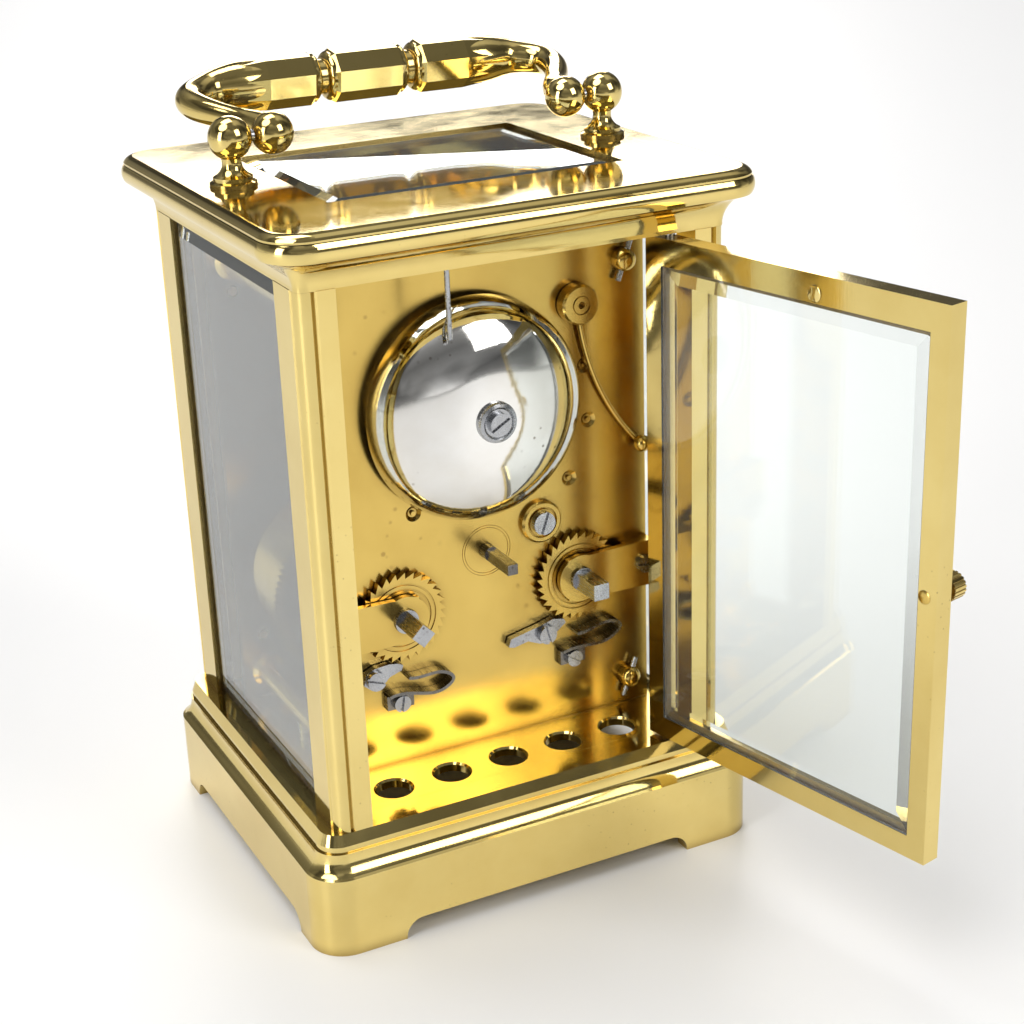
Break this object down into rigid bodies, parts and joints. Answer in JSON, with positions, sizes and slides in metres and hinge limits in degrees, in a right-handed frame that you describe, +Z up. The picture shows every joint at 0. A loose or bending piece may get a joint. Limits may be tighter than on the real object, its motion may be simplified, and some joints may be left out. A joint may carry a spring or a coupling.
{
  "type": "carriage clock",
  "caption": "Glazed brass travelling clock with folding top handle, open back door, bell strike and winding squares.",
  "frame": {"origin": "centre of the rectangle that the base's feet stand on, at the height of their soles", "axes": "+Z up, the dial faces -Y and the back door is on the +Y side, +X to the left seen from behind"},
  "size_m": [0.0983, 0.1463, 0.1554],
  "materials": {
    "case_brass": "polished and lacquered, lightly worn",
    "movement_brass": "fine satin grain",
    "steel": "polished",
    "bevelled_glass": "clear, bevelled edges",
    "bell_metal": "polished nickel plate",
    "gilt_mask": "fine matt gilding",
    "enamel_dial": "white vitreous enamel",
    "blued_steel": "heat-blued, polished"
  },
  "bodies": {
    "case": {"base": "case_brass", "floor_plate": "case_brass", "case_posts": "case_brass", "top_frame": "case_brass", "lid_plate": "case_brass", "lid_glass": "bevelled_glass", "case_glasses": "bevelled_glass", "case_screws": "steel", "handle_posts": "case_brass", "handle_pins": "steel", "door_pins": "steel", "back_plate": "movement_brass", "front_plate": "movement_brass", "pillars": "movement_brass", "dial_mask": "gilt_mask", "dial": "enamel_dial", "click_springs": "steel", "ratchet_bridges": "movement_brass", "plate_screws": "steel", "platform": "movement_brass", "platform_cocks": "movement_brass", "bell": "bell_metal", "bell_stand": "steel", "eccentric_bush": "movement_brass"},
    "handle": {"carry_handle": "case_brass"},
    "back_door": {"door_hinge_stile": "case_brass", "door_latch_stile": "case_brass", "door_top_rail": "case_brass", "door_bottom_rail": "case_brass", "door_glass": "bevelled_glass", "door_knob": "case_brass"},
    "minute_work": {"minute_hand": "blued_steel", "cannon_pinion": "movement_brass"},
    "hand_setting": {"hand_set_arbor": "steel", "minute_wheel": "movement_brass"},
    "hour_work": {"hour_hand": "blued_steel", "hour_wheel": "movement_brass"},
    "going_barrel_body": {"going_barrel": "movement_brass", "going_mainspring": "steel"},
    "going_intermediate": {"going_intermediate_wheel": "movement_brass"},
    "centre": {"centre_wheel": "movement_brass"},
    "third": {"third_wheel": "movement_brass"},
    "contrate": {"contrate_wheel": "movement_brass"},
    "escape": {"escape_wheel": "steel"},
    "strike_barrel_body": {"strike_barrel": "movement_brass", "strike_mainspring": "steel"},
    "strike_intermediate": {"strike_intermediate_wheel": "movement_brass"},
    "pin_arbor": {"pin_wheel": "movement_brass"},
    "warning": {"warning_wheel": "movement_brass"},
    "fly_arbor": {"fly": "movement_brass"},
    "going_winder": {"going_winding_arbor": "steel", "going_ratchet": "steel"},
    "strike_winder": {"strike_winding_arbor": "steel", "strike_ratchet": "steel"},
    "going_click_body": {"going_click": "steel"},
    "strike_click_body": {"strike_click": "steel"},
    "hammer_body": {"hammer": "steel"},
    "lever": {"pallet_lever": "steel"},
    "balance": {"balance_wheel": "movement_brass"},
    "regulator": {"regulator_lever": "steel"}
  },
  "joints": [
    {"name": "handle_swing", "type": "hinge", "parent": "case", "child": "handle", "pos_m": [0, 0.0003, 0.14605], "axis": [-1, 0, 0], "range_deg": [-14, 177]},
    {"name": "door_hinge", "type": "hinge", "parent": "case", "child": "back_door", "pos_m": [-0.0306, 0.03755, 0.024], "axis": [0, 0, 1], "range_deg": [-102.7, 35]},
    {"name": "minute_hand_turn", "type": "hinge", "parent": "case", "child": "minute_work", "pos_m": [0, -0.026, 0.08], "axis": [0, 1, 0], "continuous": true},
    {"name": "hand_setting_turn", "type": "hinge", "parent": "case", "child": "hand_setting", "pos_m": [0, 0, 0.0646], "axis": [0, 1, 0], "continuous": true},
    {"name": "hour_hand_turn", "type": "hinge", "parent": "case", "child": "hour_work", "pos_m": [0, -0.029, 0.08], "axis": [0, 1, 0], "continuous": true},
    {"name": "third_wheel_turn", "type": "hinge", "parent": "case", "child": "third", "pos_m": [0, 0, 0.09485], "axis": [0, 1, 0], "continuous": true},
    {"name": "centre_wheel_turn", "type": "hinge", "parent": "case", "child": "centre", "pos_m": [0, 0, 0.08], "axis": [0, 1, 0], "continuous": true},
    {"name": "going_intermediate_turn", "type": "hinge", "parent": "case", "child": "going_intermediate", "pos_m": [0.0149, 0, 0.0754], "axis": [0, 1, 0], "continuous": true},
    {"name": "going_barrel_turn", "type": "hinge", "parent": "case", "child": "going_barrel_body", "pos_m": [0.0191, 0, 0.0555], "axis": [0, 1, 0], "continuous": true},
    {"name": "contrate_turn", "type": "hinge", "parent": "case", "child": "contrate", "pos_m": [0, 0, 0.1089], "axis": [0, 1, 0], "continuous": true},
    {"name": "escape_turn", "type": "hinge", "parent": "case", "child": "escape", "pos_m": [0, -0.006, 0.124], "axis": [0, 0, 1], "continuous": true},
    {"name": "pin_wheel_turn", "type": "hinge", "parent": "case", "child": "pin_arbor", "pos_m": [-0.0231, 0, 0.087], "axis": [0, 1, 0], "continuous": true},
    {"name": "strike_intermediate_turn", "type": "hinge", "parent": "case", "child": "strike_intermediate", "pos_m": [-0.0186, 0, 0.0758], "axis": [0, 1, 0], "continuous": true},
    {"name": "strike_barrel_turn", "type": "hinge", "parent": "case", "child": "strike_barrel_body", "pos_m": [-0.0191, 0, 0.0555], "axis": [0, 1, 0], "continuous": true},
    {"name": "warning_turn", "type": "hinge", "parent": "case", "child": "warning", "pos_m": [-0.0225, 0, 0.0982], "axis": [0, 1, 0], "continuous": true},
    {"name": "fly_turn", "type": "hinge", "parent": "case", "child": "fly_arbor", "pos_m": [-0.0155, 0, 0.105], "axis": [0, 1, 0], "continuous": true},
    {"name": "going_winding", "type": "hinge", "parent": "case", "child": "going_winder", "pos_m": [0.0191, 0.025, 0.0555], "axis": [0, 1, 0], "range_deg": [0, 1980]},
    {"name": "strike_winding", "type": "hinge", "parent": "case", "child": "strike_winder", "pos_m": [-0.0191, 0.025, 0.0555], "axis": [0, 1, 0], "range_deg": [0, 1980]},
    {"name": "going_click_lift", "type": "hinge", "parent": "case", "child": "going_click_body", "pos_m": [0.0256, 0.02, 0.044], "axis": [0, -1, 0], "range_deg": [0, 12], "stiffness_Nm_per_rad": 0.004},
    {"name": "strike_click_lift", "type": "hinge", "parent": "case", "child": "strike_click_body", "pos_m": [-0.0115, 0.02, 0.0447], "axis": [0, -1, 0], "range_deg": [0, 12], "stiffness_Nm_per_rad": 0.004},
    {"name": "hammer_swing", "type": "hinge", "parent": "case", "child": "hammer_body", "pos_m": [-0.0206, 0, 0.111], "axis": [0, -1, 0], "range_deg": [0, 33], "stiffness_Nm_per_rad": 0.006},
    {"name": "lever_rock", "type": "hinge", "parent": "case", "child": "lever", "pos_m": [0, -0.0003, 0.124], "axis": [0, 0, 1], "range_deg": [-4, 4]},
    {"name": "balance_swing", "type": "hinge", "parent": "case", "child": "balance", "pos_m": [0, 0.0086, 0.126], "axis": [0, 0, 1], "range_deg": [-150, 150], "stiffness_Nm_per_rad": 0.00001},
    {"name": "regulator_turn", "type": "hinge", "parent": "case", "child": "regulator", "pos_m": [0, 0.0086, 0.1297], "axis": [0, 0, 1], "range_deg": [-12, 12]}
  ],
  "couplings": [
    {"joint": "hand_setting_turn", "follows": "minute_hand_turn", "ratio": -0.33333},
    {"joint": "hour_hand_turn", "follows": "minute_hand_turn", "ratio": 0.083333},
    {"joint": "centre_wheel_turn", "follows": "third_wheel_turn", "ratio": -0.125},
    {"joint": "going_intermediate_turn", "follows": "third_wheel_turn", "ratio": 0.025},
    {"joint": "going_barrel_turn", "follows": "third_wheel_turn", "ratio": -0.0035714},
    {"joint": "contrate_turn", "follows": "third_wheel_turn", "ratio": -7.5},
    {"joint": "escape_turn", "follows": "third_wheel_turn", "ratio": -60},
    {"joint": "strike_intermediate_turn", "follows": "pin_wheel_turn", "ratio": -0.16667},
    {"joint": "strike_barrel_turn", "follows": "pin_wheel_turn", "ratio": 0.02381},
    {"joint": "warning_turn", "follows": "pin_wheel_turn", "ratio": -4.5},
    {"joint": "fly_turn", "follows": "pin_wheel_turn", "ratio": 31.5}
  ]
}
